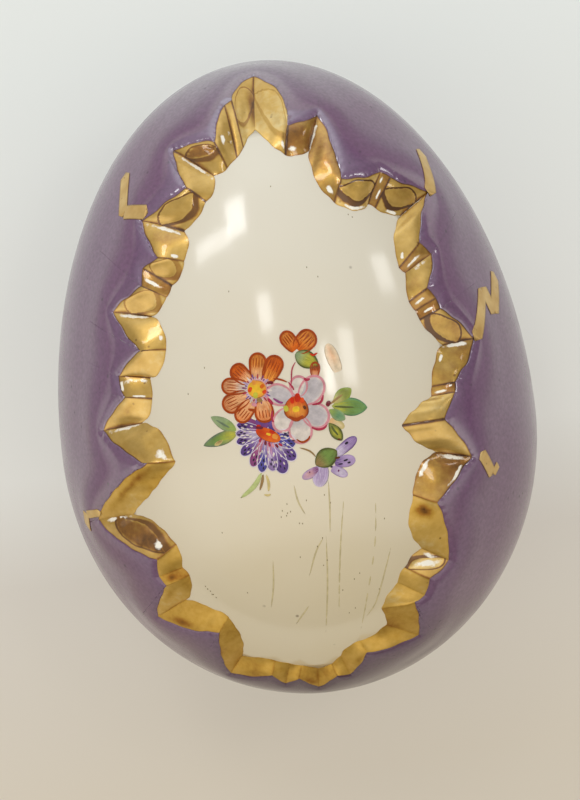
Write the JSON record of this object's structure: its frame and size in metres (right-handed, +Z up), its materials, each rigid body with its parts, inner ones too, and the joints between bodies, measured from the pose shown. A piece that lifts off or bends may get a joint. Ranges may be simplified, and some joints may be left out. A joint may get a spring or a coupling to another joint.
{
  "type": "trinket box",
  "caption": "Egg-shaped porcelain trinket box lying on a foot ring; its lift-off lid has a sunk window with a gilded broken-shell rim and a painted flower spray.",
  "frame": {"origin": "centre of the box's outline, on the surface it stands on", "axes": "+Y along the egg to its pointed end, +Z up through the lid"},
  "size_m": [0.0824, 0.11, 0.0818],
  "materials": {
    "purple_lustre": "glossy lustre glaze",
    "ivory_glaze": "glossy clear glaze over warm white",
    "gilding": "bright fired gilding",
    "bare_porcelain": "unglazed, matt",
    "enamel_orange": "painted enamel",
    "enamel_violet": "painted enamel",
    "enamel_lilac": "painted enamel",
    "enamel_crimson": "painted enamel",
    "enamel_yellow": "painted enamel",
    "enamel_green": "painted enamel"
  },
  "bodies": {
    "base": {"base": "purple_lustre"},
    "lid": {"lid": "purple_lustre"}
  },
  "joints": [
    {"name": "lid_lift", "type": "slide", "parent": "base", "child": "lid", "axis": [0, 0, 1], "range_m": [0, 0.07]}
  ]
}
